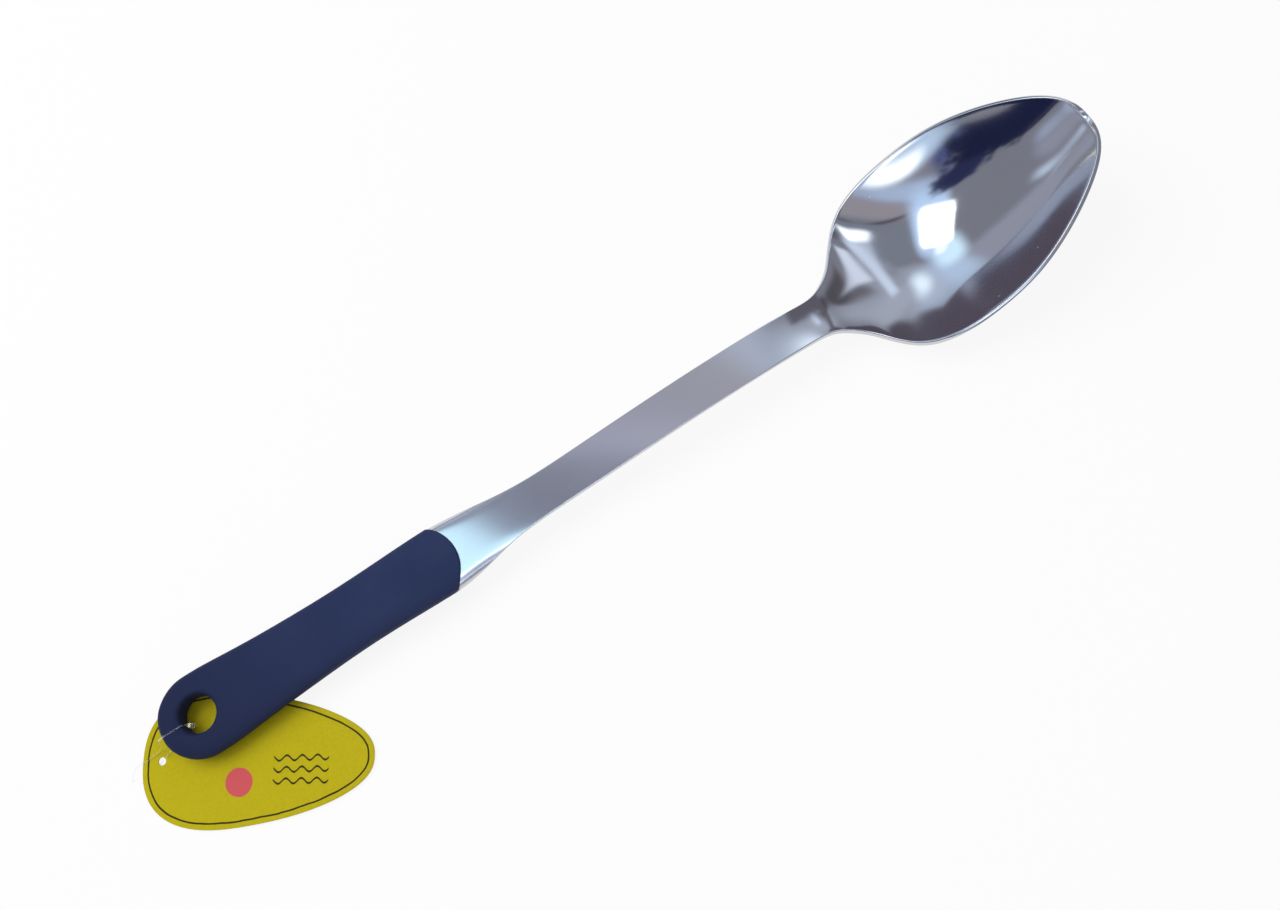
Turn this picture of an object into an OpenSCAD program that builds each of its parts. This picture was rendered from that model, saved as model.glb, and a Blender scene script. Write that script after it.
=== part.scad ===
// Cooking spoon: a pressed steel spoon whose tang is moulded into a soft grip, with a swing
// tag on a clear nylon loop through the hanging hole. Millimetres, bowl upwards, +X towards
// the tip of the bowl. The lowest point of the bowl lies on z = 0, and the origin is under
// the middle of the spoon's length.

/* [Steel] */
// Thickness of the sheet that the spoon is pressed from
sheet_t = 1.6; // [1.2:0.1:2]
// Length of the bowl from its root to its tip, along its slope
bowl_l = 99.4; // [85:0.2:115]
// Greatest width of the bowl
bowl_w = 64; // [54:0.5:74]
// Depth of the outside of the bowl below the line from its root to its tip
bowl_d = 22.4; // [16:0.2:26]
// Angle at which that line rises from the root to the tip
bowl_tilt = 15.1; // [11:0.1:19]
// Length of the shaft from the front of the grip to the root of the bowl
shaft_l = 136.6; // [115:0.2:160]
// Width of the shaft
shaft_w = 13.6; // [12:0.1:17]
// Height of the shaft's arch above the root of the bowl
arch_h = 2.4; // [2:0.1:5]
// Fall of the shaft from its arch to the shoulder at the grip
arch_fall = 6.5; // [5:0.1:8]
// Width of the shoulder where the steel leaves the grip
shoulder_w = 20.6; // [19:0.1:21]
// Length over which the shoulder narrows into the shaft
shoulder_l = 50; // [42:1:60]
// Height of the crown pressed into the shoulder
crown_h = 2.9; // [2:0.1:3.2]
// Length of the shoulder that the grip covers
shoulder_cover = 16; // [14:0.5:18]
// Width of the tang inside the grip
tang_w = 15; // [12:0.5:16]
// Diameter of the holes in the tang that the grip's material fills
key_d = 6; // [4:0.5:8]

/* [Grip] */
// Length of the grip from its round end to the middle of its front edge
grip_l = 109.4; // [100:0.2:125]
// Width of the grip at its round end
end_w = 27.6; // [26:0.2:31]
// Width of the grip at its waist
waist_w = 21.6; // [21:0.2:25]
// Width of the grip at its front
front_w = 22.8; // [22.4:0.2:25]
// Thickness of the grip at its round end
end_t = 8.2; // [7:0.2:10]
// Radius of the grip's front edge, seen from above
front_r = 14; // [13:0.5:17]
// Thickness of the grip's lip over the crown of the shoulder
lip_t = 0.9; // [0.7:0.1:1.4]
// Thickness of the grip under the edges of the shoulder
sole_t = 3.5; // [3:0.1:4.5]
// Radius of the grip's upper and lower edges round its end
edge_r = 4; // [3:0.2:5]
// Diameter of the hanging hole
hang_d = 12; // [10:0.2:14]
// Radius of the hanging hole's rounded rims
rim_r = 2; // [1:0.1:2.4]
// Rubber between the hanging hole and the end of the tang
hang_wall = 4; // [3:0.5:8]

/* [Tag] */
// Length of the swing tag
tag_l = 76; // [66:1:90]
// Width of the swing tag
tag_w = 40; // [30:1:42]
// Thickness of the tag's card
tag_t = 0.5; // [0.4:0.05:0.6]
// Diameter of the hole punched in the tag
punch_d = 2.6; // [2.2:0.1:3.2]
// Distance from the tag's end to the middle of its hole
punch_in = 6.4; // [5.8:0.1:6.8]
// Diameter of the clear loop
loop_d = 0.45; // [0.4:0.01:0.5]
// Diameter of the piece that locks the loop's ends
lock_d = 1.7; // [1.4:0.1:1.9]

/* [Hidden] */

over = 1;              // how far a cut runs past what it cuts
bond_gap = 0.05;       // between the steel and the rubber moulded round it
stack_gap = 0.2;       // between the loop, the tag and the grip, where they lie in a stack
bead = 0.3;            // chamfer at the ends of the lock
step_share = 0.02;     // step for slopes, as a share of a row
fine = 96;             // sides of a round cut

// Tang: share of its length, share of its rise to the shoulder, share of the widening.
tang_shares = [
    [-0.10, 0.00, 0.00], [0.00, 0.00, 0.00], [0.10, 0.05, 0.00], [0.30, 0.25, 0.00],
    [0.55, 0.60, 0.00], [0.78, 0.90, 0.00], [0.90, 1.00, 0.05],
];
// Shoulder: share of its length, of its width over the shaft's, of the arch's fall that is
// climbed, of the crown, and the crown's power.
shoulder_shares = [
    [0.00, 0.25, 0.00, 0.50, 2.4], [0.12, 0.93, 0.00, 0.92, 3.0],
    [0.24, 1.00, -0.03, 1.00, 3.0], [0.40, 0.68, 0.01, 0.85, 3.0],
    [0.58, 0.31, 0.14, 0.50, 3.0], [0.78, 0.09, 0.26, 0.20, 3.0],
    [1.00, -0.02, 0.34, 0.05, 3.0],
];
// Shaft: share of its length, of the arch's fall that is climbed, of the crown.
shaft_shares = [
    [0.17, 0.56, 0.00], [0.35, 0.81, 0.00], [0.525, 0.98, 0.00], [0.68, 1.00, 0.00],
    [0.82, 0.95, -0.03], [0.92, 0.83, -0.20], [1.00, 0.62, -0.41],
];
// Bowl: place and height of the rim, place and depth of the floor, half width, power.
bowl_shares = [
    [0.045, -0.14, 0.040, 0.21, 0.30, 2.0], [0.090, -0.25, 0.085, 0.35, 0.41, 2.0],
    [0.135, -0.33, 0.130, 0.48, 0.60, 2.0], [0.190, -0.34, 0.175, 0.61, 0.79, 2.0],
    [0.255, -0.30, 0.225, 0.74, 0.91, 2.0], [0.350, -0.26, 0.310, 0.92, 0.98, 2.0],
    [0.465, -0.20, 0.420, 1.02, 0.99, 2.0], [0.600, -0.11, 0.545, 0.99, 0.96, 2.1],
    [0.730, -0.03, 0.680, 0.82, 0.83, 2.2], [0.845, 0.02, 0.810, 0.57, 0.65, 2.2],
    [0.930, 0.03, 0.910, 0.29, 0.47, 2.1], [0.980, 0.01, 0.970, 0.12, 0.30, 2.0],
    [1.000, 0.00, 1.000, 0.04, 0.14, 2.0], [1.000, 0.00, 1.000, 0.00, 0.00, 2.0],
    [1.000, 0.00, 1.000, 0.04, -0.14, 2.0],
];
// Grip: share of the way from the middle of its round end to its front, share of the round
// end's extra width, of the front's extra width, and of the rise to the front.
grip_shares = [
    [-0.06, 1.00, 0.00, 0.00], [0.00, 1.00, 0.00, 0.00], [0.06, 1.00, 0.00, 0.00],
    [0.15, 0.75, 0.00, 0.02], [0.26, 0.46, 0.00, 0.10], [0.37, 0.27, 0.00, 0.27],
    [0.50, 0.07, 0.00, 0.55], [0.62, 0.00, 0.00, 0.80], [0.74, 0.00, 0.30, 0.94],
    [0.86, 0.00, 0.90, 1.00], [0.98, 0.00, 1.00, 1.00], [1.10, 0.00, 1.00, 1.00],
    [1.22, 0.00, 1.00, 1.00],
];
grip_power = 2.8;      // how square the grip's section is
end_power = 2.4;       // how full the grip's rounded end edge is
key_shares = [0.16, 0.42, 0.68];
tag_power = 2.4;       // how full the tag's oval is
tag_taper_share = 0.3; // how much narrower than even the oval grows away from the hole
tag_angle = -30.5;     // of the tag's long axis from the spoon's
// The tag's hole, from the hanging hole
tag_hole = [-19.4, -4.5];

// Route of the clear loop, from the hanging hole: out of the lock, over the end of the grip,
// past the tag's end, back under the tag, up through its hole and into the lock again.
loop_route = [
    [-4.8, -0.9, 7], [-4.8, -0.9, 8.4], [-4.95, -0.95, 9.7], [-5.7, -1, 10.6],
    [-7, -1, 10.9], [-9, -1, 10.8], [-11.2, -0.9, 10.75], [-13.1, -0.8, 10.3],
    [-14.6, -0.8, 9.1], [-15.3, -0.9, 7.4], [-15.9, -1.1, 5.4], [-17, -1.4, 3.4],
    [-19, -1.6, 2.1], [-21.6, -1.7, 1.65], [-24.4, -1.8, 1.6], [-26.8, -1.9, 1.4],
    [-28.5, -2.2, 0.75], [-29.8, -3, 0.3], [-30.5, -4.2, 0.25], [-30.3, -5.5, 0.25],
    [-29.2, -6.4, 0.25], [-27.6, -6.7, 0.25], [-25.4, -6.4, 0.25], [-23, -5.6, 0.25],
    [-21.3, -5.05, 0.27], [-20.2, -4.75, 0.46], [-19.4, -4.5, 0.9], [-18.6, -4.25, 1.35],
    [-17.4, -3.95, 1.58], [-14, -3.1, 1.6], [-10, -2.1, 1.6], [-7.6, -1.5, 1.62],
    [-6.2, -1.15, 1.85], [-5.25, -0.95, 2.5], [-4.85, -0.9, 3.2], [-4.8, -0.9, 3.7],
];
loop_steps = 2;        // rings of the loop for each step of its route
row_step = 0.4;        // from one ring of the steel to the next, in rows

// Places along X.
end_r = end_w / 2;
hang_r = hang_d / 2;
spoon_l = grip_l + shaft_l + bowl_l * cos(bowl_tilt);
hang_x = end_r - spoon_l / 2;
tang_x = hang_x + hang_r + hang_wall;
front_x = grip_l - spoon_l / 2;
shoulder_x = front_x - shoulder_cover;
root_x = front_x + shaft_l;

// Heights. The lowest point of the bowl gives the height of the bowl's root.
grip_z = 2 * loop_d + tag_t + 3 * stack_gap;
tag_z = loop_d + stack_gap;
root_z = -min([for (k = [0 : 0.25 : len(bowl_shares) - 3]) along(bowl_rows(0), k)[4]]);
arch_z = root_z + arch_h;
heel_z = arch_z - arch_fall;
tang_z = grip_z + end_t / 2 - sheet_t / 2;
front_top = heel_z + crown_h + sheet_t + lip_t;
front_z = heel_z - sole_t;

// Uniform cubic B-spline through rows of numbers, t in rows
function along(rows, t) =
    let (i = max(0, min(floor(t), len(rows) - 4)), u = t - i)
    (rows[i] * pow(1 - u, 3) + rows[i + 1] * (3 * pow(u, 3) - 6 * pow(u, 2) + 4)
     + rows[i + 2] * (-3 * pow(u, 3) + 3 * pow(u, 2) + 3 * u + 1) + rows[i + 3] * pow(u, 3)) / 6;

// Rows of the steel: x of its edge, x of its middle, half width, height of its edge, height
// of its middle, power of its section
function tang_rows() = [for (r = tang_shares)
    let (x = tang_x + r[0] * (shoulder_x - tang_x), z = tang_z + r[1] * (heel_z - tang_z))
    [x, x, tang_w / 2 + r[2] * (shoulder_w - tang_w) / 2, z, z, 2]];
function shoulder_rows() = [for (r = shoulder_shares)
    let (x = shoulder_x + r[0] * shoulder_l, z = heel_z + r[2] * arch_fall)
    [x, x, shaft_w / 2 + r[1] * (shoulder_w - shaft_w) / 2, z, z + r[3] * crown_h, r[4]]];
function shaft_rows() =
    let (x0 = shoulder_x + shoulder_l)
    [for (r = shaft_shares)
        let (x = x0 + r[0] * (root_x - x0), z = heel_z + r[1] * arch_fall)
        [x, x, shaft_w / 2, z, z + r[2] * crown_h, 2]];
function bowl_rows(z0) = [for (r = bowl_shares)
    let (a = r[0] * bowl_l, b = r[1] * bowl_d, c = r[2] * bowl_l, d = -r[3] * bowl_d)
    [root_x + a * cos(bowl_tilt) - b * sin(bowl_tilt), root_x + c * cos(bowl_tilt) - d * sin(bowl_tilt),
     r[4] * bowl_w / 2, z0 + a * sin(bowl_tilt) + b * cos(bowl_tilt),
     z0 + c * sin(bowl_tilt) + d * cos(bowl_tilt), r[5]]];
steel_rows = concat(tang_rows(), shoulder_rows(), shaft_rows(), bowl_rows(root_z));

// Point of the steel's underside, v from -1 at its right edge to 1 at its left
function under(t, v, grow) =
    let (s = along(steel_rows, t), m = pow(abs(v), s[5]))
    [s[1] + (s[0] - s[1]) * m, (s[2] + grow) * v, s[4] + (s[3] - s[4]) * m];
function unit(v) = v / norm(v);

// Direction square to the sheet. Towards the tip, where the rows close up, the whole width
// takes the direction of its middle.
function square_to(t, v) =
    let (c = v * min(1, (len(steel_rows) - 3 - t) / 2),
         v0 = max(-1, c - step_share), v1 = min(1, c + step_share))
    unit(cross(under(t + step_share, c, 0) - under(t - step_share, c, 0),
               under(t, v1, 0) - under(t, v0, 0)));

// Solid between rings of points, each ring as long as the next. The ends are closed by
// strips between the first and the second half of the ring.
module between(rings) {
    n = len(rings[0]);
    last = len(rings) - 1;
    sides = [for (i = [0 : last - 1], j = [0 : n - 1])
        let (a = i * n + j, b = i * n + (j + 1) % n, c = a + n, d = b + n)
        each [[a, c, b], [b, c, d]]];
    ends = [for (i = [0, last * n], j = [0 : n / 2 - 2])
        let (a = i + j, b = i + j + 1, c = i + n - 2 - j, d = i + n - 1 - j)
        each (i == 0 ? [[a, b, c], [a, c, d]] : [[a, c, b], [a, d, c]])];
    flat = [for (f = concat(sides, ends)) if (f[0] != f[1] && f[1] != f[2] && f[2] != f[0]) f];
    polyhedron(points = [for (r = rings) each r], faces = flat);
}

// Sheet of steel through the given rows, grown on every side
module sheet(rows, grow) {
    across = 16;
    between([for (t = rows)
        let (back = t == rows[0] ? -grow : 0)
        concat(
            [for (j = [0 : across])
                let (v = 2 * j / across - 1)
                under(t, v, grow) + [back, 0, 0] - grow * square_to(t, v)],
            [for (j = [across : -1 : 0])
                let (v = 2 * j / across - 1)
                under(t, v, grow) + [back, 0, 0] + (sheet_t + grow) * square_to(t, v)])]);
}

// Grip's outside: x, half width, upper and lower height
grip_rows = [for (r = grip_shares)
    [hang_x + r[0] * (front_x - hang_x),
     (waist_w + r[1] * (end_w - waist_w) + r[2] * (front_w - waist_w)) / 2,
     grip_z + end_t + r[3] * (front_top - grip_z - end_t), grip_z + r[3] * (front_z - grip_z)]];
function grip_ring(x, w, top, low, sides) = [for (k = [0 : sides - 1])
    let (a = 360 * (k + 0.5) / sides, c = cos(a), s = sin(a))
    [x, w * sign(c) * pow(abs(c), 2 / grip_power),
     (top + low) / 2 + (top - low) / 2 * sign(s) * pow(abs(s), 2 / grip_power)]];
function end_ring(a, sides) =
    let (in = end_r * (1 - cos(a)), s = along(grip_rows, 0),
         full = in < edge_r ? pow(1 - pow(1 - in / edge_r, end_power), 1 / end_power) : 1,
         half = full * (s[2] - s[3]) / 2, mid = (s[2] + s[3]) / 2)
    grip_ring(hang_x - end_r + in, s[1] * sin(a), mid + half, mid - half, sides);

module grip_outside() {
    sides = 32;
    between(concat(
        [for (a = [6, 14, 22, 31, 41, 52, 64, 77]) end_ring(a, sides)],
        [for (i = [0 : 28])
            let (s = along(grip_rows, i * (len(grip_rows) - 3) / 28))
            grip_ring(s[0], s[1], s[2], s[3], sides)]));
}

// Round cutter with a flared mouth at each end, for the hanging hole
module flared_hole() {
    z0 = grip_z;
    z1 = grip_z + end_t;
    cylinder(h = z1 + over, r = hang_r, $fn = fine);
    for (side = [0, 1]) {
        translate([0, 0, side * (z0 + z1)]) mirror([0, 0, side]) rotate_extrude($fn = fine)
            difference() {
                translate([0, z1 - rim_r]) square([hang_r + rim_r, rim_r + over]);
                translate([hang_r + rim_r, z1 - rim_r]) circle(r = rim_r, $fn = fine);
            }
    }
}

// What lies beyond the grip's curved front edge
module beyond_front() {
    difference() {
        translate([front_x - front_r, -front_w, 0]) cube([grip_l, 2 * front_w, 2 * front_top]);
        translate([front_x - front_r, 0, -over])
            cylinder(h = 2 * front_top + 2 * over, r = front_r, $fn = fine);
    }
}

module keys(r) {
    for (s = key_shares) {
        t = s * (len(tang_shares) - 1);
        p = along(steel_rows, t);
        translate([p[0], 0, p[4] - over]) cylinder(h = sheet_t + 2 * over, r = r, $fn = fine);
    }
}

module steel_spoon() {
    tip = len(steel_rows) - 3;
    color("silver") difference() {
        sheet([for (t = [0 : row_step : tip - row_step / 2]) t, tip - row_step / 4], 0);
        keys(key_d / 2);
    }
}

module grip() {
    color([0.16, 0.2, 0.34]) {
        difference() {
            grip_outside();
            sheet([for (t = [0 : row_step : len(tang_shares) + 2]) t], bond_gap);
            translate([hang_x, 0, 0]) flared_hole();
            beyond_front();
        }
        keys(key_d / 2 - bond_gap);
    }
}

module hang_tag() {
    outline = [for (k = [0 : 71])
        let (c = cos(5 * k), s = sin(5 * k), along_share = sign(c) * pow(abs(c), 2 / tag_power),
             across_share = sign(s) * pow(abs(s), 2 / tag_power))
        [tag_l / 2 * (1 + along_share) - punch_in,
         tag_w / 2 * across_share * (1 - tag_taper_share * along_share)]];
    color([0.75, 0.7, 0]) translate([hang_x + tag_hole[0], tag_hole[1], tag_z]) difference() {
        rotate([0, 0, tag_angle]) linear_extrude(tag_t) polygon(outline);
        translate([0, 0, -over]) cylinder(h = tag_t + 2 * over, r = punch_d / 2, $fn = fine);
    }
}

// Catmull-Rom point of the loop's route, t in points
function on_route(t) =
    let (n = len(loop_route), i = max(0, min(floor(t), n - 2)), u = t - i,
         b = loop_route[i], c = loop_route[i + 1],
         a = i > 0 ? loop_route[i - 1] : 2 * b - c, d = i < n - 2 ? loop_route[i + 2] : 2 * c - b)
    (2 * b + (c - a) * u + (2 * a - 5 * b + 4 * c - d) * pow(u, 2)
     + (3 * b - 3 * c + d - a) * pow(u, 3)) / 2;

module tag_loop() {
    sides = 8;
    last = (len(loop_route) - 1) * loop_steps;
    rings = [for (i = [0 : last])
        let (t = i / loop_steps, p = on_route(t),
             ahead = unit(on_route(t + step_share) - on_route(t - step_share)),
             way = i == 0 || i == last ? [0, 0, 1] : ahead,
             n = unit(cross([0, 1, 0], way)), b = cross(way, n))
        [for (k = [0 : sides - 1]) p + loop_d / 2 * (n * cos(360 * k / sides) + b * sin(360 * k / sides))]];
    color([0.9, 0.95, 1]) translate([hang_x, 0, 0]) between(rings);
}

module loop_lock() {
    low = loop_route[len(loop_route) - 1];
    lock_l = loop_route[0][2] - low[2];
    color([0.85, 0.9, 0.95]) translate([hang_x + low[0], low[1], low[2]])
        rotate_extrude($fn = fine) polygon([
            [0, 0], [lock_d / 2 - bead, 0], [lock_d / 2, bead], [lock_d / 2, lock_l - bead],
            [lock_d / 2 - bead, lock_l], [0, lock_l]]);
}

steel_spoon();
grip();
hang_tag();
tag_loop();
loop_lock();
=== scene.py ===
"""Looks of the cooking spoon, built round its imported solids. Sizes are in millimetres until a mesh is
made, and colours are amounts of red, green and blue light."""

import math

import bmesh
import bpy
import numpy as np
from mathutils import Matrix, Vector

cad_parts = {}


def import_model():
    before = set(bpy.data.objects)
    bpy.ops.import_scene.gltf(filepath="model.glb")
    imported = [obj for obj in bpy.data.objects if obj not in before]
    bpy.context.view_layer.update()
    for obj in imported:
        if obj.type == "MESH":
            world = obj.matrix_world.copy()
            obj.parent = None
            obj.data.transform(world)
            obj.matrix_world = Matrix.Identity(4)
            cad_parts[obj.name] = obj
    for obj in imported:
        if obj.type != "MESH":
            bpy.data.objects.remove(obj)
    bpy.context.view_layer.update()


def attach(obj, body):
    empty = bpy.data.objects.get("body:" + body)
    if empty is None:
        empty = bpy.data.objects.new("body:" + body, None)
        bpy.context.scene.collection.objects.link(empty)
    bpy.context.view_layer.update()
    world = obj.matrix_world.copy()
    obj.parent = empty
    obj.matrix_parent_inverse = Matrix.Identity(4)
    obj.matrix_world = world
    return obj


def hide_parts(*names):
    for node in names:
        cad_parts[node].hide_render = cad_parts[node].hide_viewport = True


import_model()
MM = 0.001
WHITE = (1, 1, 1, 1)

# Sizes of the solids
SHEET_T = 1.6
BOWL_L = 99.4
BOWL_W = 64.0
BOWL_D = 22.4
BOWL_TILT = math.radians(15.1)
SHAFT_L = 136.6
SHAFT_W = 13.6
ARCH_H = 2.4
ARCH_FALL = 6.5
SHOULDER_W = 20.6
SHOULDER_L = 50.0
CROWN_H = 2.9
SHOULDER_COVER = 16.0
TANG_W = 15.0
GRIP_L = 109.4
END_W = 27.6
WAIST_W = 21.6
FRONT_W = 22.8
END_T = 8.2
FRONT_R = 14.0
LIP_T = 0.9
SOLE_T = 3.5
EDGE_R = 4.0
HANG_D = 12.0
RIM_R = 2.0
HANG_WALL = 4.0
TAG_L = 76.0
TAG_W = 40.0
TAG_T = 0.5
PUNCH_D = 2.6
PUNCH_IN = 6.4
LOOP_D = 0.45
LOCK_D = 1.7
STACK_GAP = 0.2
TAG_ANGLE = math.radians(-30.5)
TAG_HOLE = (-19.4, -4.5)
GRIP_POWER = 2.8
END_POWER = 2.4
TAG_POWER = 2.4
TAG_TAPER_SHARE = 0.3

# Tag's print: a line inside its edge, and from its hole waves and a round spot. Each edge goes
# from no ink to full ink
LINE_IN = 1.9
LINE_EDGE = (0.34, 0.22)
WAVES_Y = (-7, -3.5, 0)
WAVE_ENDS = (37, 55)
WAVE_L = 5
WAVE_H = 0.8
WAVE_EDGE = (0.42, 0.26)
WAVE_FADE = 0.2
SPOT = (26, -7)
SPOT_D = 9
SPOT_FADE = 0.12

# Tang: share of its length, of its rise to the shoulder, of the widening
TANG_SHARES = [
    (-0.10, 0.00, 0.00), (0.00, 0.00, 0.00), (0.10, 0.05, 0.00), (0.30, 0.25, 0.00),
    (0.55, 0.60, 0.00), (0.78, 0.90, 0.00), (0.90, 1.00, 0.05),
]
# Shoulder: share of its length, of its width over the shaft's, of the arch's fall that is
# climbed, of the crown, and the crown's power
SHOULDER_SHARES = [
    (0.00, 0.25, 0.00, 0.50, 4.0), (0.12, 0.93, 0.00, 0.92, 7.0),
    (0.24, 1.00, -0.03, 1.00, 9.0), (0.40, 0.68, 0.08, 0.70, 9.0),
    (0.58, 0.31, 0.28, 0.20, 8.0), (0.78, 0.09, 0.34, 0.03, 7.0),
    (1.00, -0.02, 0.36, 0.00, 5.0),
]
# Shaft: share of its length, of the arch's fall that is climbed, of the crown
SHAFT_SHARES = [
    (0.17, 0.56, 0.00), (0.35, 0.81, 0.00), (0.525, 0.98, 0.00), (0.68, 1.00, 0.00),
    (0.82, 0.95, -0.03), (0.92, 0.83, -0.20), (1.00, 0.62, -0.41),
]
# Bowl: place and height of the rim, place and depth of the floor, half width, power
BOWL_SHARES = [
    (0.045, -0.14, 0.040, 0.21, 0.30, 2.0), (0.090, -0.25, 0.085, 0.35, 0.41, 2.0),
    (0.135, -0.33, 0.130, 0.48, 0.60, 2.0), (0.190, -0.34, 0.175, 0.61, 0.79, 2.0),
    (0.255, -0.30, 0.225, 0.74, 0.91, 2.0), (0.350, -0.26, 0.310, 0.92, 0.98, 2.0),
    (0.465, -0.20, 0.420, 1.02, 0.99, 2.0), (0.600, -0.11, 0.545, 0.99, 0.96, 2.1),
    (0.730, -0.03, 0.680, 0.82, 0.83, 2.2), (0.845, 0.02, 0.810, 0.57, 0.65, 2.2),
    (0.930, 0.03, 0.910, 0.29, 0.47, 2.1), (0.980, 0.01, 0.970, 0.12, 0.30, 2.0),
    (1.000, 0.00, 1.000, 0.04, 0.14, 2.0), (1.000, 0.00, 1.000, 0.00, 0.00, 2.0),
    (1.000, 0.00, 1.000, 0.04, -0.14, 2.0),
]
# Grip: share of the way from the middle of its round end to its front, share of the round
# end's extra width, of the front's extra width, and of the rise to the front
GRIP_SHARES = [
    (-0.06, 1.00, 0.00, 0.00), (0.00, 1.00, 0.00, 0.00), (0.06, 1.00, 0.00, 0.00),
    (0.15, 0.75, 0.00, 0.02), (0.26, 0.46, 0.00, 0.10), (0.37, 0.27, 0.00, 0.27),
    (0.50, 0.07, 0.00, 0.55), (0.62, 0.00, 0.00, 0.80), (0.74, 0.00, 0.30, 0.94),
    (0.86, 0.00, 0.90, 1.00), (0.98, 0.00, 1.00, 1.00), (1.10, 0.00, 1.00, 1.00),
    (1.22, 0.00, 1.00, 1.00),
]
# Route of the clear loop, from the hanging hole
LOOP_ROUTE = [
    (-4.8, -0.9, 7), (-4.8, -0.9, 8.4), (-4.95, -0.95, 9.7), (-5.7, -1, 10.6),
    (-7, -1, 10.9), (-9, -1, 10.8), (-11.2, -0.9, 10.75), (-13.1, -0.8, 10.3),
    (-14.6, -0.8, 9.1), (-15.3, -0.9, 7.4), (-15.9, -1.1, 5.4), (-17, -1.4, 3.4),
    (-19, -1.6, 2.1), (-21.6, -1.7, 1.65), (-24.4, -1.8, 1.6), (-26.8, -1.9, 1.4),
    (-28.5, -2.2, 0.75), (-29.8, -3, 0.3), (-30.5, -4.2, 0.25), (-30.3, -5.5, 0.25),
    (-29.2, -6.4, 0.25), (-27.6, -6.7, 0.25), (-25.4, -6.4, 0.25), (-23, -5.6, 0.25),
    (-21.3, -5.05, 0.27), (-20.2, -4.75, 0.46), (-19.4, -4.5, 0.9), (-18.6, -4.25, 1.35),
    (-17.4, -3.95, 1.58), (-14, -3.1, 1.6), (-10, -2.1, 1.6), (-7.6, -1.5, 1.62),
    (-6.2, -1.15, 1.85), (-5.25, -0.95, 2.5), (-4.85, -0.9, 3.2), (-4.8, -0.9, 3.7),
]

# Places along X, as in the solids
SPOON_L = GRIP_L + SHAFT_L + BOWL_L * math.cos(BOWL_TILT)
HANG_X = END_W / 2 - SPOON_L / 2
TANG_X = HANG_X + HANG_D / 2 + HANG_WALL
FRONT_X = GRIP_L - SPOON_L / 2
SHOULDER_X = FRONT_X - SHOULDER_COVER
ROOT_X = FRONT_X + SHAFT_L
# Where the satin of the shaft turns into the polish of the bowl, and where the rubber darkens
POLISH_X = (ROOT_X - 22, ROOT_X + 6)
DARK_X = (-175, -85)


def along(rows, t):
    """Points at t, in rows, of the uniform cubic B-spline through rows of numbers."""
    rows = np.asarray(rows, float)
    t = np.asarray(t, float)
    i = np.clip(np.floor(t), 0, len(rows) - 4).astype(int)
    u = (t - i)[..., None]
    return (rows[i] * (1 - u) ** 3 + rows[i + 1] * (3 * u ** 3 - 6 * u ** 2 + 4)
            + rows[i + 2] * (-3 * u ** 3 + 3 * u ** 2 + 3 * u + 1) + rows[i + 3] * u ** 3) / 6


def bowl_rows(z0):
    """Rows of the bowl whose root is at height z0."""
    rows = []
    for rim, rise, floor, depth, half, power in BOWL_SHARES:
        a, b, c, d = rim * BOWL_L, rise * BOWL_D, floor * BOWL_L, -depth * BOWL_D
        rows.append((
            ROOT_X + a * math.cos(BOWL_TILT) - b * math.sin(BOWL_TILT),
            ROOT_X + c * math.cos(BOWL_TILT) - d * math.sin(BOWL_TILT),
            half * BOWL_W / 2,
            z0 + a * math.sin(BOWL_TILT) + b * math.cos(BOWL_TILT),
            z0 + c * math.sin(BOWL_TILT) + d * math.cos(BOWL_TILT),
            power))
    return rows


# Heights, as in the solids
GRIP_Z = 2 * LOOP_D + TAG_T + 3 * STACK_GAP
TAG_Z = LOOP_D + STACK_GAP
ROOT_Z = -along(bowl_rows(0), np.arange(0, len(BOWL_SHARES) - 2.9, 0.25))[:, 4].min()
HEEL_Z = ROOT_Z + ARCH_H - ARCH_FALL
TANG_Z = GRIP_Z + END_T / 2 - SHEET_T / 2
FRONT_TOP = HEEL_Z + CROWN_H + SHEET_T + LIP_T
FRONT_Z = HEEL_Z - SOLE_T


def steel_rows():
    """Rows of the steel: x of its edge, x of its middle, half width, height of its edge, height of its
    middle, power."""
    rows = []
    for far, rise, widening in TANG_SHARES:
        x = TANG_X + far * (SHOULDER_X - TANG_X)
        z = TANG_Z + rise * (HEEL_Z - TANG_Z)
        rows.append((x, x, TANG_W / 2 + widening * (SHOULDER_W - TANG_W) / 2, z, z, 2))
    for far, widening, climb, crown, power in SHOULDER_SHARES:
        x = SHOULDER_X + far * SHOULDER_L
        z = HEEL_Z + climb * ARCH_FALL
        half = SHAFT_W / 2 + widening * (SHOULDER_W - SHAFT_W) / 2
        rows.append((x, x, half, z, z + crown * CROWN_H, power))
    start = SHOULDER_X + SHOULDER_L
    for far, climb, crown in SHAFT_SHARES:
        x = start + far * (ROOT_X - start)
        z = HEEL_Z + climb * ARCH_FALL
        rows.append((x, x, SHAFT_W / 2, z, z + crown * CROWN_H, 2))
    return rows + bowl_rows(ROOT_Z)


STEEL_ROWS = steel_rows()
TIP = len(STEEL_ROWS) - 3
# Small step along and across the sheet, which gives its direction
STEP = 0.02


def under(t, v):
    """Points of the steel's underside, v from -1 at its right edge to 1 at its left."""
    s = along(STEEL_ROWS, t)
    m = np.abs(v) ** s[..., 5]
    return np.stack([s[..., 1] + (s[..., 0] - s[..., 1]) * m, s[..., 2] * v,
                     s[..., 4] + (s[..., 3] - s[..., 4]) * m], axis=-1)


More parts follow.
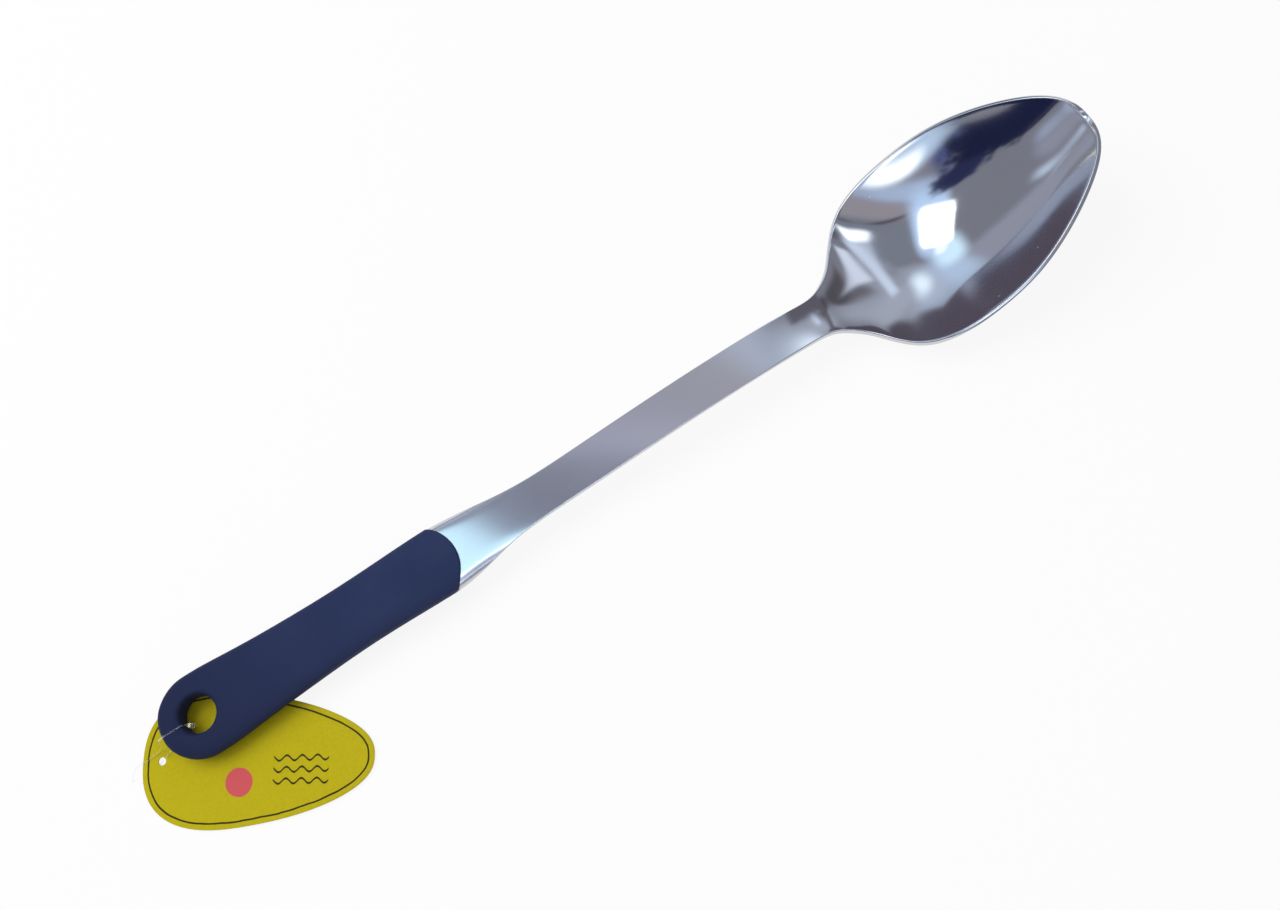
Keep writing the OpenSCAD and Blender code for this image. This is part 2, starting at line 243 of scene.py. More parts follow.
def square_to(t, v):
    """Direction square to the sheet. Towards the tip the whole width takes the direction of its middle."""
    c = v * np.minimum(1, (TIP - t) / 2)
    lengthways = under(t + STEP, c) - under(t - STEP, c)
    across = under(t, np.minimum(1, c + STEP)) - under(t, np.maximum(-1, c - STEP))
    n = np.cross(lengthways, across)
    return n / np.linalg.norm(n, axis=-1, keepdims=True)


def new_object(name, points, faces):
    """Object from points in millimetres and faces."""
    mesh = bpy.data.meshes.new(name)
    mesh.from_pydata((np.asarray(points) * MM).tolist(), [], faces)
    mesh.validate()
    mesh.shade_smooth()
    obj = bpy.data.objects.new(name, mesh)
    bpy.context.scene.collection.objects.link(obj)
    return obj


def between(name, rings):
    """Closed object through rings of points, all with the same number of points."""
    count, sides = rings.shape[:2]
    faces = []
    for i in range(count - 1):
        for j in range(sides):
            a, b = i * sides + j, i * sides + (j + 1) % sides
            faces.append((a, a + sides, b + sides, b))
    faces.append(tuple(range(sides)))
    faces.append(tuple(reversed(range((count - 1) * sides, count * sides))))
    return new_object(name, rings.reshape(-1, 3), faces)


def weld(obj, distance=0.002):
    """Joins points of obj that lie within that distance, and turns its faces outwards."""
    bm = bmesh.new()
    bm.from_mesh(obj.data)
    bmesh.ops.remove_doubles(bm, verts=bm.verts, dist=distance * MM)
    bmesh.ops.recalc_face_normals(bm, faces=bm.faces)
    bm.to_mesh(obj.data)
    bm.free()
    obj.data.shade_smooth()


def cut(obj, cutter):
    """Takes cutter out of obj, and deletes it."""
    modifier = obj.modifiers.new("cut", "BOOLEAN")
    modifier.operation = "DIFFERENCE"
    modifier.solver = "EXACT"
    modifier.object = cutter
    bake_modifiers(obj)
    bpy.data.objects.remove(cutter)


def bake_modifiers(obj):
    """Replaces the mesh of obj by what its modifiers make of it."""
    evaluated = obj.evaluated_get(bpy.context.evaluated_depsgraph_get())
    mesh = bpy.data.meshes.new_from_object(evaluated)
    obj.modifiers.clear()
    obj.data = mesh


class Nodes:
    """A material's nodes, added one at a time."""

    def __init__(self, name):
        self.material = bpy.data.materials.new(name)
        self.material.use_nodes = True
        self.tree = self.material.node_tree
        self.shader = self.tree.nodes["Principled BSDF"]
        self.output = self.tree.nodes["Material Output"]

    def add(self, kind, settings=None, inputs=None):
        """Node of that kind with those settings. An input is a plain value or another node's output."""
        node = self.tree.nodes.new("ShaderNode" + kind)
        for key, value in (settings or {}).items():
            setattr(node, key, value)
        for key, value in (inputs or {}).items():
            self.feed(node, key, value)
        return node

    def feed(self, node, key, value):
        if isinstance(value, bpy.types.NodeSocket):
            self.tree.links.new(value, node.inputs[key])
        else:
            node.inputs[key].default_value = value

    def set(self, **values):
        """Sets the shader's sockets, with spaces written as underscores."""
        for key, value in values.items():
            self.feed(self.shader, key.replace("_", " "), value)

    def math(self, operation, *values):
        return self.add("Math", {"operation": operation}, dict(enumerate(values))).outputs[0]

    def product(self, first, *others):
        for value in others:
            first = self.math("MULTIPLY", first, value)
        return first

    def off(self, value, place):
        """How far value is from place, either way."""
        return self.math("ABSOLUTE", self.math("SUBTRACT", value, place))

    def slanted(self, x, y, pivot, slant):
        """x plus slant times what y has over pivot."""
        return self.math("ADD", x, self.product(self.math("SUBTRACT", y, pivot), slant))

    def parts(self, vector):
        return self.add("SeparateXYZ", None, {"Vector": vector}).outputs

    def ramp(self, value, low, high, to_low=0.0, to_high=1.0):
        """Value carried from one range to another, smoothly."""
        node = self.add("MapRange", {"interpolation_type": "SMOOTHSTEP"}, {
            "Value": value, "From Min": low, "From Max": high, "To Min": to_low, "To Max": to_high})
        return node.outputs["Result"]

    def spread(self, noise, low=0.0, high=1.0):
        """A noise's usual values carried to a range."""
        return self.ramp(noise, 0.3, 0.7, low, high)

    def mix(self, share, a, b):
        """Colour between a and b."""
        node = self.add("Mix", {"data_type": "RGBA"})
        self.feed(node, 0, share)
        self.feed(node, 6, a)
        self.feed(node, 7, b)
        return node.outputs[2]

    def noise(self, place, scale, detail=3.0, roughness=0.5):
        return self.add("TexNoise", None, {
            "Vector": place, "Scale": scale, "Detail": detail, "Roughness": roughness}).outputs["Fac"]

    def place(self, scale=(1, 1, 1)):
        """Place on the object in millimetres, each axis times its scale."""
        node = self.add("Mapping", None, {
            "Vector": self.add("TexCoord").outputs["Object"], "Scale": [s / MM for s in scale]})
        return node.outputs["Vector"]

    def bump(self, height, strength, distance):
        node = self.add("Bump", None, {"Height": height, "Strength": strength, "Distance": distance * MM})
        self.feed(self.shader, "Normal", node.outputs["Normal"])

    def show(self, surface, other=None, share=None):
        """Sends surface to the output, or the mix of it and another by the share of the other."""
        if other is not None:
            surface = self.add("MixShader", None, {0: share, 1: surface, 2: other}).outputs[0]
        self.tree.links.new(surface, self.output.inputs["Surface"])

    def glow(self, colour):
        return self.add("Emission", None, {"Color": colour, "Strength": 1.0}).outputs[0]


def steel_material():
    """Stainless steel: satin on the shaft, polished in the bowl, with fine marks and a few specks."""
    grey, pale = (0.62, 0.62, 0.64, 1), (0.85, 0.86, 0.88, 1)
    satin_rough, mark_rough, bright_rough, speck_rough = (0.19, 0.24), (0.0, 0.03), (0.08, 0.11), 0.3
    brushed = (0.25, 3.0, 3.0)
    cell, speck_edge, speck_core = 0.11, 0.05, 0.028
    m = Nodes("steel")
    place = m.place()
    polish = m.ramp(m.parts(place)["X"], *POLISH_X)
    cloud = m.noise(place, 0.05, 4)
    marks = m.noise(m.place(brushed), 1.0, 2, 0.7)
    satin = m.math("ADD", m.spread(cloud, *satin_rough), m.spread(marks, *mark_rough))
    bright = m.spread(cloud, *bright_rough)
    rough = m.add("Mix", {"data_type": "FLOAT"}, {0: polish, 2: satin, 3: bright}).outputs[0]
    cells = m.add("TexVoronoi", None, {"Vector": place, "Scale": cell}).outputs["Distance"]
    speck = m.ramp(cells, speck_edge, speck_core)
    m.set(Metallic=1.0, Base_Color=m.mix(speck, grey, pale),
          Roughness=m.math("ADD", rough, m.product(speck, speck_rough)))
    m.bump(marks, 0.05, 0.02)
    return m.material


def rubber_material():
    """Soft navy rubber with a fine even grain, deeper towards its round end."""
    low, high, deep = (0.013, 0.022, 0.075, 1), (0.017, 0.027, 0.085, 1), (0.009, 0.015, 0.054, 1)
    rough = (0.6, 0.72)
    m = Nodes("grip_rubber")
    place = m.place()
    cloud = m.noise(place, 0.06, 4)
    grain = m.noise(place, 5.0, 2, 0.6)
    navy = m.mix(m.spread(cloud), low, high)
    m.set(Base_Color=m.mix(m.ramp(m.parts(place)["X"], *DARK_X), deep, navy),
          Roughness=m.spread(grain, *rough), Specular_IOR_Level=0.2)
    m.bump(grain, 0.25, 0.02)
    return m.material


def nylon_material(name, rough):
    """Clear nylon, from that roughness to 1.6 times it."""
    m = Nodes(name)
    cloud = m.noise(m.place(), 0.8, 2)
    m.set(Base_Color=m.mix(cloud, (0.93, 0.96, 0.99, 1), (0.98, 0.99, 1, 1)),
          Roughness=m.spread(cloud, rough, rough * 1.6), IOR=1.53, Transmission_Weight=1.0)
    return m.material


def card_material():
    """Yellow printed card: a dark line inside its edge, three waves and a round spot."""
    low, high = (0.46, 0.385, 0.0, 1), (0.51, 0.43, 0.0, 1)
    red, dark = (0.60, 0.09, 0.10, 1), (0.03, 0.026, 0.004, 1)
    rough = (0.5, 0.62)
    m = Nodes("tag_card")
    plan = m.add("UVMap", {"uv_map": "plan"}).outputs["UV"]
    edge = m.parts(m.add("UVMap", {"uv_map": "edge"}).outputs["UV"])
    inset, side = edge["X"], edge["Y"]
    fibre = m.noise(m.place(), 1.2, 4, 0.6)
    yellow = m.mix(m.spread(fibre), low, high)
    wobble = m.product(m.math("SUBTRACT", m.noise(plan, 0.22, 1), 0.5), 0.5)
    ink = m.ramp(m.off(m.math("ADD", inset, wobble), LINE_IN), *LINE_EDGE)
    parts = m.parts(plan)
    crest = m.product(m.math("SINE", m.product(parts["X"], 2 * math.pi / WAVE_L)), WAVE_H)
    middle, half = (WAVE_ENDS[0] + WAVE_ENDS[1]) / 2, (WAVE_ENDS[1] - WAVE_ENDS[0]) / 2
    within = m.ramp(m.off(parts["X"], middle), half + WAVE_FADE, half - WAVE_FADE)
    for y in WAVES_Y:
        off = m.off(m.math("SUBTRACT", parts["Y"], crest), y)
        ink = m.math("MAXIMUM", ink, m.product(m.ramp(off, *WAVE_EDGE), within))
    off = m.add("VectorMath", {"operation": "DISTANCE"}, {0: plan, 1: (*SPOT, 0)}).outputs["Value"]
    spot = m.ramp(m.math("ADD", off, wobble), SPOT_D / 2 + SPOT_FADE, SPOT_D / 2 - SPOT_FADE)
    face = m.mix(side, yellow, m.mix(spot, yellow, red))
    m.set(Base_Color=m.mix(m.product(ink, side), face, dark), Roughness=m.spread(fibre, *rough),
          Specular_IOR_Level=0.12)
    m.bump(fibre, 0.2, 0.02)
    return m.material


def steel_piece():
    """Pressed steel with its edges rounded over: a ring round the sheet at each place along it."""
    edge_r, most_inset = 0.3, 0.6
    across, lengthways, arc_points = 72, 560, 6
    tip_gap = 0.02
    corner = np.linspace(0, math.pi / 2, arc_points)
    strip = np.linspace(-1, 1, across + 1)
    flat = np.zeros(across - 1)
    inset = edge_r * np.concatenate([
        flat + 1, 1 - np.sin(corner), 1 - np.cos(corner), flat + 1, 1 - np.sin(corner), 1 - np.cos(corner)])
    low = edge_r * (1 - np.cos(corner))
    high = SHEET_T - edge_r * (1 - np.sin(corner))
    height = np.concatenate([
        flat, low, high, flat + SHEET_T, SHEET_T - low, SHEET_T - high])
    ones = np.ones(len(corner) * 2)
    way = np.concatenate([strip[1:-1], ones, -strip[1:-1], -ones])
    t = np.linspace(0, TIP - tip_gap, lengthways)
    half = along(STEEL_ROWS, t)[:, 2:3]
    v = way[None, :] * (1 - np.minimum(inset[None, :] / half, most_inset))
    tt = np.repeat(t[:, None], len(way), axis=1)
    rings = under(tt, v) + height[None, :, None] * square_to(tt, v)
    obj = between("spoon_steel", rings)
    weld(obj)
    obj.data.materials.append(steel_material())
    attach(obj, "spoon")
    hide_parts("steel_spoon")


def power_of(c, power):
    """c to the power of 2 over power, with its sign kept."""
    return np.sign(c) * np.abs(c) ** (2 / power)


def grip_ring(x, w, top, low, sides=160):
    """Ring of the grip at x, with half width w, between its top and its low side."""
    a = 2 * math.pi * (np.arange(sides) + 0.5) / sides
    return np.stack([np.full(sides, x), w * power_of(np.cos(a), GRIP_POWER),
                     (top + low) / 2 + (top - low) / 2 * power_of(np.sin(a), GRIP_POWER)], axis=-1)


def grip_piece():
    """Rubber grip: rings along it, its front cut to a curve and the hanging hole cut with soft rims."""
    voxel, passes, lengthways = 0.3, 6, 120
    end_turns = np.concatenate([[1.5, 3, 5], np.arange(8, 90, 3)])
    rows = []
    for far, end, front, rise in GRIP_SHARES:
        width = WAIST_W + end * (END_W - WAIST_W) + front * (FRONT_W - WAIST_W)
        rows.append((HANG_X + far * (FRONT_X - HANG_X), width / 2,
                     GRIP_Z + END_T + rise * (FRONT_TOP - GRIP_Z - END_T),
                     GRIP_Z + rise * (FRONT_Z - GRIP_Z)))
    rings = []
    end_r = END_W / 2
    _, w, top, low = along(rows, 0)
    for a in np.radians(end_turns):
        inside = end_r * (1 - math.cos(a))
        full = (1 - (1 - inside / EDGE_R) ** END_POWER) ** (1 / END_POWER) if inside < EDGE_R else 1
        half, mid = full * (top - low) / 2, (top + low) / 2
        rings.append(grip_ring(HANG_X - end_r + inside, w * math.sin(a), mid + half, mid - half))
    for t in np.linspace(0, len(rows) - 3, lengthways):
        rings.append(grip_ring(*along(rows, t)))
    obj = between("grip_rubber", np.array(rings))
    weld(obj)
    cut(obj, beyond_front())
    cut(obj, flared_hole())
    remesh = obj.modifiers.new("even", "REMESH")
    remesh.mode = "VOXEL"
    remesh.voxel_size = voxel * MM
    soften = obj.modifiers.new("soften", "SMOOTH")
    soften.factor = 0.5
    soften.iterations = passes
    bake_modifiers(obj)
    obj.data.shade_smooth()
    obj.data.materials.clear()
    obj.data.materials.append(rubber_material())
    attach(obj, "spoon")
    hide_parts("grip")


def beyond_front():
    """Cutter for what lies beyond the grip's curved front edge."""
    arc_points = 97
    a = np.linspace(-math.pi / 2, math.pi / 2, arc_points)
    far = FRONT_X + GRIP_L
    outline = [(FRONT_X - FRONT_R + FRONT_R * math.cos(b), FRONT_R * math.sin(b)) for b in a]
    outline += [(FRONT_X - FRONT_R, FRONT_W), (far, FRONT_W), (far, -FRONT_W),
                (FRONT_X - FRONT_R, -FRONT_W)]
    rings = np.array([[(x, y, z) for x, y in outline] for z in (-FRONT_TOP, 2 * FRONT_TOP)])
    return between("beyond_front", rings)


def flared_hole():
    """Cutter for the hanging hole, with a quarter round at each end."""
    r = HANG_D / 2
    top = GRIP_Z + END_T
    past, sides, arc_points = 1, 128, 13
    quarter = np.linspace(0, math.pi / 2, arc_points)
    profile = [(r + RIM_R, GRIP_Z - past)]
    for b in quarter:
        profile.append((r + RIM_R * (1 - math.sin(b)), GRIP_Z + RIM_R * (1 - math.cos(b))))
    for b in quarter[::-1]:
        profile.append((r + RIM_R * (1 - math.sin(b)), top - RIM_R * (1 - math.cos(b))))
    profile.append((r + RIM_R, top + past))
    a = 2 * math.pi * np.arange(sides) / sides
    rings = np.array([[(HANG_X + q * math.cos(b), q * math.sin(b), z) for b in a] for q, z in profile])
    obj = between("flared_hole", rings)
    weld(obj)
    return obj


def tag_piece():
    """Card of the swing tag: rings from its hole to its edge on one face, round the edge and back to
    the hole on the other, with two maps for the print."""
    sides, steps, arc_points, rounding = 192, 60, 9, 0.12
    a = 2 * math.pi * np.arange(sides) / sides
    far = power_of(np.cos(a), TAG_POWER)
    wide = power_of(np.sin(a), TAG_POWER)
    outline = np.stack([TAG_L / 2 * (1 + far) - PUNCH_IN,
                        TAG_W / 2 * wide * (1 - TAG_TAPER_SHARE * far)], axis=-1)
    bearing = np.arctan2(outline[:, 1], outline[:, 0])
    hole = PUNCH_D / 2 * np.stack([np.cos(bearing), np.sin(bearing)], axis=-1)
    reach = np.linalg.norm(outline - hole, axis=1, keepdims=True)
    shares = np.linspace(0, 1, steps)
    rings, maps = [], []
    for face, z in ((1, TAG_T), (0, 0)):
        order = shares if face else shares[::-1]
        for share in order:
            kept = share * (1 - rounding / reach)
            flat = hole + (outline - hole) * kept
            rings.append(np.column_stack([flat, np.full(sides, z)]))
            maps.append(np.column_stack([flat, np.full(sides, face)]))
        if face:
            for b in np.linspace(0, math.pi, arc_points)[1:-1]:
                out = hole + (outline - hole) * (1 - rounding / reach * (1 - math.sin(b)))
                rings.append(np.column_stack([out, np.full(sides, TAG_T / 2 * (1 + math.cos(b)))]))
                maps.append(np.column_stack([out, np.full(sides, 0)]))
    rings, maps = np.array(rings), np.array(maps)
    count = len(rings)
    faces = [(i * sides + j, i * sides + (j + 1) % sides, (i + 1) % count * sides + (j + 1) % sides,
              (i + 1) % count * sides + j) for i in range(count) for j in range(sides)]
    c, s = math.cos(TAG_ANGLE), math.sin(TAG_ANGLE)
    turn = np.array([[c, s, 0], [-s, c, 0], [0, 0, 1]])
    points = rings.reshape(-1, 3) @ turn + (HANG_X + TAG_HOLE[0], TAG_HOLE[1], TAG_Z)
    obj = new_object("swing_tag", points, faces)
    flat = maps.reshape(-1, 3)
    inset = distance_inside(flat[:, :2], outline)
    which = np.array([loop.vertex_index for loop in obj.data.loops])
    for name, pairs in (("plan", flat[:, :2]), ("edge", np.column_stack([inset, flat[:, 2]]))):
        layer = obj.data.uv_layers.new(name=name)
        layer.data.foreach_set("uv", pairs[which].astype(np.float32).ravel())
    weld(obj, 0.0005)
    obj.data.materials.append(card_material())
    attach(obj, "tag")
    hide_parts("hang_tag")


def distance_inside(points, outline):
    """Distance of each point from the nearest side of a closed outline."""
    nearest = np.full(len(points), 1e9)
    for a, b in zip(outline, np.roll(outline, -1, axis=0)):
        side = b - a
        share = np.clip(((points - a) @ side) / (side @ side), 0, 1)
        nearest = np.minimum(nearest, np.linalg.norm(points - a - share[:, None] * side, axis=1))
    return nearest


def loop_point(t):
    """Point of the loop's route, t in points, from the origin of the part."""
    route = np.array(LOOP_ROUTE, float)
    n = len(route)
    i = min(int(t), n - 2)
    u = t - i
    b, c = route[i], route[i + 1]
    a = route[i - 1] if i > 0 else 2 * b - c
    d = route[i + 2] if i < n - 2 else 2 * c - b
    p = (2 * b + (c - a) * u + (2 * a - 5 * b + 4 * c - d) * u ** 2 + (3 * b - 3 * c + d - a) * u ** 3) / 2
    return p + (HANG_X, 0, 0)


def lock_piece():
    """Moulded barrel that joins the loop's ends, waisted and rounded."""
    (x, y, low), high = LOOP_ROUTE[-1], LOOP_ROUTE[0][2]
    length = high - low
    bead, waist, waist_share = 0.3, 0.06, 0.06
    sides, lengthways = 48, 41
    a = 2 * math.pi * np.arange(sides) / sides
    rings = []
    for s in np.linspace(0, 1, lengthways):
        end = min(s, 1 - s) * length
        r = LOCK_D / 2 - bead + math.sqrt(max(0, bead ** 2 - max(0, bead - end) ** 2))
        r -= waist * math.exp(-((s - 0.5) / waist_share) ** 2)
        rings.append(np.column_stack([
            HANG_X + x + r * np.cos(a), y + r * np.sin(a), np.full(sides, low + s * length)]))
    obj = between("loop_lock_clear", np.array(rings))
    weld(obj)
    obj.data.materials.append(nylon_material("clear_nylon_lock", 0.12))
    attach(obj, "loop")
    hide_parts("loop_lock")
    return obj


def loop_piece():
    """Clear strand of the tag's loop, from the lock through the tag and back."""
    steps = 4
    last = (len(LOOP_ROUTE) - 1) * steps
    curve = bpy.data.curves.new("tag_strand", "CURVE")
    curve.dimensions = "3D"
    curve.bevel_depth = LOOP_D / 2 * MM
    curve.bevel_resolution = 4
    curve.use_fill_caps = True
    spline = curve.splines.new("POLY")
    points = [loop_point(i / steps) * MM for i in range(last + 1)]
    spline.points.add(last)
    for point, place in zip(spline.points, points):
        point.co = (*place, 1)
    obj = bpy.data.objects.new("tag_strand", curve)
    bpy.context.scene.collection.objects.link(obj)
    curve.materials.append(nylon_material("clear_nylon", 0.05))
    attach(obj, "loop")
    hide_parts("tag_loop")


# Camera: its place, turn, lean and roll, and the lens for that width of sensor
CAMERA_PLACE = (-12.28, -129.9, 399.9)
CAMERA_TURNS = ((-7.01, "Z"), (17.73, "X"), (-25.64, "Z"))
SENSOR_W = 36
LENS = 36.56


def camera():
    """The photograph's viewpoint: above the shaft, leaning, and turned in the picture."""
    data = bpy.data.cameras.new("camera")
    data.sensor_width = SENSOR_W
    data.lens = LENS
    data.clip_start = 0.01
    obj = bpy.data.objects.new("camera", data)
    place = Matrix.Translation(Vector(CAMERA_PLACE) * MM)
    for angle, axis in CAMERA_TURNS:
        place = place @ Matrix.Rotation(math.radians(angle), 4, axis)
    obj.matrix_world = place
    bpy.context.scene.collection.objects.link(obj)
    bpy.context.scene.camera = obj


def rays(tree):
    """Share of a ray that shows the background: seen by the camera, in metal or through glass."""
    path = tree.nodes.new("ShaderNodeLightPath")
    share = path.outputs["Is Camera Ray"]
    for kind in ("Is Glossy Ray", "Is Transmission Ray"):
        most = tree.nodes.new("ShaderNodeMath")
        most.operation = "MAXIMUM"
        tree.links.new(share, most.inputs[0])
        tree.links.new(path.outputs[kind], most.inputs[1])
        share = most.outputs[0]
    return share


def world():
    """White where it is seen, and a soft plain level where it lights."""
    lit_level, seen_level = 0.55, 1.0
    made = bpy.data.worlds.new("studio")
    made.use_nodes = True
    tree = made.node_tree
    lit, seen = tree.nodes["Background"], tree.nodes.new("ShaderNodeBackground")
    for node, strength in ((lit, lit_level), (seen, seen_level)):
        node.inputs["Color"].default_value = WHITE
        node.inputs["Strength"].default_value = strength
    mix = tree.nodes.new("ShaderNodeMixShader")
    tree.links.new(rays(tree), mix.inputs[0])
    tree.links.new(lit.outputs[0], mix.inputs[1])
    tree.links.new(seen.outputs[0], mix.inputs[2])
    tree.links.new(mix.outputs[0], tree.nodes["World Output"].inputs["Surface"])
    bpy.context.scene.world = made


def level_square(name, wide, deep, height):
    """Level four-sided object between two X and two Y, at that height."""
    (west, east), (south, north) = wide, deep
    corners = [(west, south, height), (east, south, height), (east, north, height), (west, north, height)]
    return new_object(name, corners, [(0, 1, 2, 3)])


def floor():
    """Plain pale floor that keeps a soft shadow."""
    half, seen_white = 2000, 0.88
    obj = level_square("floor", (-half, half), (-half, half), 0)
    m = Nodes("floor")
    grain = m.noise(m.place(), 0.02, 3)
    m.set(Base_Color=m.mix(grain, (0.86, 0.86, 0.86, 1), (0.88, 0.88, 0.88, 1)),
          Roughness=0.9, Specular_IOR_Level=0.0)
    m.show(m.shader.outputs[0], m.glow(WHITE), m.product(rays(m.tree), seen_white))
    obj.data.materials.append(m.material)


def lamp(name, place, size, power):
    """Soft square lamp at that place and size in metres, aimed at the object. The steel mirrors the
    room instead."""
    data = bpy.data.lights.new(name, "AREA")
    data.size = size
    data.energy = power
    obj = bpy.data.objects.new(name, data)
    aim = (-Vector(place)).to_track_quat("-Z", "Y")
    obj.matrix_world = Matrix.Translation(place) @ aim.to_matrix().to_4x4()
    obj.visible_glossy = False
    bpy.context.scene.collection.objects.link(obj)


# What the steel mirrors, painted reflections and highlights on a glowing dome, in degrees from straight up,
# east and north: place, half sizes, turn, lean, squareness, softness, raggedness and colour of each patch,
# the later over the earlier
ROOM = [
    ((-20, 64), (42, 26), 0, 0, 2.6, 0.3, 0.2, (0.41, 0.44, 0.54)),
    ((-71, -14), (5, 12), 0, 0, 2.6, 0.5, 0.2, (0.48, 0.55, 0.72)),
    ((-8, -55), (15, 7), -8, 0, 2.6, 0.5, 0.0, (0.56, 0.70, 0.95)),
    ((8, 52), (18, 26), 0, 0, 2.6, 0.5, 0.0, (0.52, 0.62, 0.80)),
    ((36, 34), (22, 26), 0, 0, 2.6, 0.3, 0.0, (0.45, 0.49, 0.58)),
    ((21, 42), (13, 22), 0, 0, 2.6, 0.4, 0.0, (0.62, 0.73, 0.92)),
    ((22, -15), (16, 23), -32, 0, 4.0, 0.14, 0.1, (0.27, 0.30, 0.37)),
    ((10, -48), (16, 8), -15, 0, 2.6, 0.4, 0.1, (0.42, 0.40, 0.45)),
    ((9, -39), (10, 1.2), 8, 0, 2.6, 0.4, 0.2, (0.09, 0.08, 0.11)),
    ((37, -27), (6, 5), 30, 0, 2.6, 0.4, 0.0, (0.15, 0.15, 0.19)),
    ((25, 37), (7, 11), 0, 0, 2.0, 0.8, 0.0, (1.25, 1.45, 1.65)),
    ((0, 40), (10, 34), 0, 0, 2.6, 0.5, 0.0, (0.66, 0.85, 1.10)),
    ((-7, 23), (11, 18), -8, 0, 2.6, 0.5, 0.0, (1.00, 1.35, 1.60)),
    ((-8, -17), (13, 33), -18, -16, 4.0, 0.25, 0.0, (0.75, 1.00, 1.38)),
    ((-4, 14), (5, 6), -20, 0, 2.6, 0.6, 0.0, (1.50, 1.75, 1.85)),
    ((-11, -13), (13, 21.5), -20, -16, 6.0, 0.10, 0.1, (3.00, 3.20, 3.30)),
    ((-68, 10), (5, 16), 0, 0, 2.6, 0.6, 0.0, (0.39, 0.415, 0.52)),
    ((-58.5, 34), (4, 9), 10, 0, 2.0, 0.8, 0.0, (0.68, 0.82, 1.00)),
    ((-30, -63), (5, 9), 0, 0, 2.6, 0.6, 0.6, (0.15, 0.17, 0.31)),
    ((-40, -71.5), (14, 4.5), 20, 0, 2.6, 0.6, 0.3, (0.10, 0.12, 0.33)),
    ((-58, -59), (26.5, 18.5), -35, 0, 3.0, 0.10, 1.4, (0.015, 0.02, 0.065)),
    ((-33, -47), (14.5, 7.8), -8, 0, 3.0, 0.16, 1.4, (0.03, 0.036, 0.11)),
    ((-16, -73), (25, 5), 18, 0, 2.6, 0.5, 0.0, (0.72, 0.92, 1.20)),
    ((-11, -69), (11, 2.6), 28, 0, 2.0, 0.7, 0.0, (2.40, 2.60, 2.70)),
    ((43, 36), (10, 9), 0, 0, 2.6, 0.6, 0.0, (0.54, 0.60, 0.71)),
    ((36, 6), (3, 9), 0, 0, 2.6, 0.6, 0.0, (0.36, 0.39, 0.48)),
    ((54.7, 8.5), (3.3, 12.5), 22, 0, 2.6, 0.4, 0.0, (0.11, 0.10, 0.12)),
    ((27.7, -26.6), (1, 7), -35, 0, 2.6, 0.4, 0.0, (2.50, 2.70, 2.90)),
    ((39, 73), (15, 30), 41, 0, 5.0, 0.10, 0.05, (0.12, 0.105, 0.14)),
]
# Curved painted highlight streaks on the dome: centre, radius, half width, softness, turns between which each
# runs, colour
BENDS = [
    ((-48, 20), 90, 2, 0.6, (-28, 6), (0.92, 1.06, 1.30)),
    ((-48, 20), 97, 3, 0.6, (-21, -5), (0.98, 1.09, 1.28)),
]
# Reflections in reflections: dark, with a pale band south of a curved edge and a line on the edge.
# The edge lies that far north, and bends with the square of the way east
BROW_NORTH = 12.6
BROW_BEND = 0.0033
AGAIN_DARK = (0.19, 0.16, 0.215, 1)
AGAIN_PALE = (0.66, 0.75, 0.95, 1)
AGAIN_LINE = (0.05, 0.065, 0.15, 1)
# Low glowing card over the shaft, seen only in the steel, with painted reflections: spans of X and Y, height,
# and its colours at places along X
SHADE_SPANS = ((-110, 74), (-27, 80))
SHADE_Z = 55
SHADES = [
    (-72, (1.05, 1.56, 1.80)), (-57, (1.02, 1.48, 1.75)), (-47, (0.32, 0.36, 0.48)),
    (-34, (0.28, 0.30, 0.38)), (-16, (0.35, 0.37, 0.47)), (8, (0.46, 0.47, 0.57)),
    (46, (0.48, 0.48, 0.55)), (63, (0.62, 0.70, 0.86)),
]
# Low glowing card over the neck, seen only in the steel, a painted dark reflection: spans of X and Y, and
# height
NECK_SPANS = ((66, 90), (2.4, 14))
NECK_Z = 18


def mirrored_only(obj):
    """Marks obj as part of the studio that is seen in reflections alone."""
    obj.visible_camera = False
    obj.visible_diffuse = False
    obj.visible_transmission = False
    obj.visible_volume_scatter = False
    obj.visible_shadow = False


def room():
    """Glowing grey dome round the object that only the steel mirrors, painted with its reflections: pale
    window and lamp highlights and dark corners.
    """
    radius, down, rows, sides = 3000, math.radians(94), 24, 48
    points = []
    for i in range(rows + 1):
        rise = down * i / rows
        for j in range(sides):
            a = 2 * math.pi * j / sides
            points.append((radius * math.sin(rise) * math.cos(a), radius * math.sin(rise) * math.sin(a),
                           radius * math.cos(rise)))
    obj = new_object("room", points, quads(rows, sides))
    m = Nodes("room")
    way = m.add("VectorMath", {"operation": "NORMALIZE"}, {0: m.add("TexCoord").outputs["Object"]}).outputs[0]
    parts = m.parts(way)
    lean = m.math("DEGREES", m.math("ARCCOSINE", parts["Z"]))
    bearing = m.math("ARCTAN2", parts["Y"], parts["X"])
    east = m.product(lean, m.math("COSINE", bearing))
    north = m.product(lean, m.math("SINE", bearing))
    colour = bends(m, east, north, patches(m, way, east, north, (0.28, 0.29, 0.35, 1)))
    # Rays that the steel has mirrored twice see painted second reflections instead
    twice = m.math("GREATER_THAN", m.add("LightPath").outputs["Glossy Depth"], 1.5)
    m.show(m.glow(m.mix(twice, colour, mirrored_again(m, east, north))))
    obj.data.materials.append(m.material)
    mirrored_only(obj)


def quads(rows, sides):
    """Faces between rows of points, each row closed."""
    faces = []
    for i in range(rows):
        for j in range(sides):
            a, b = i * sides + j, i * sides + (j + 1) % sides
            faces.append((a, b, b + sides, a + sides))
    return faces


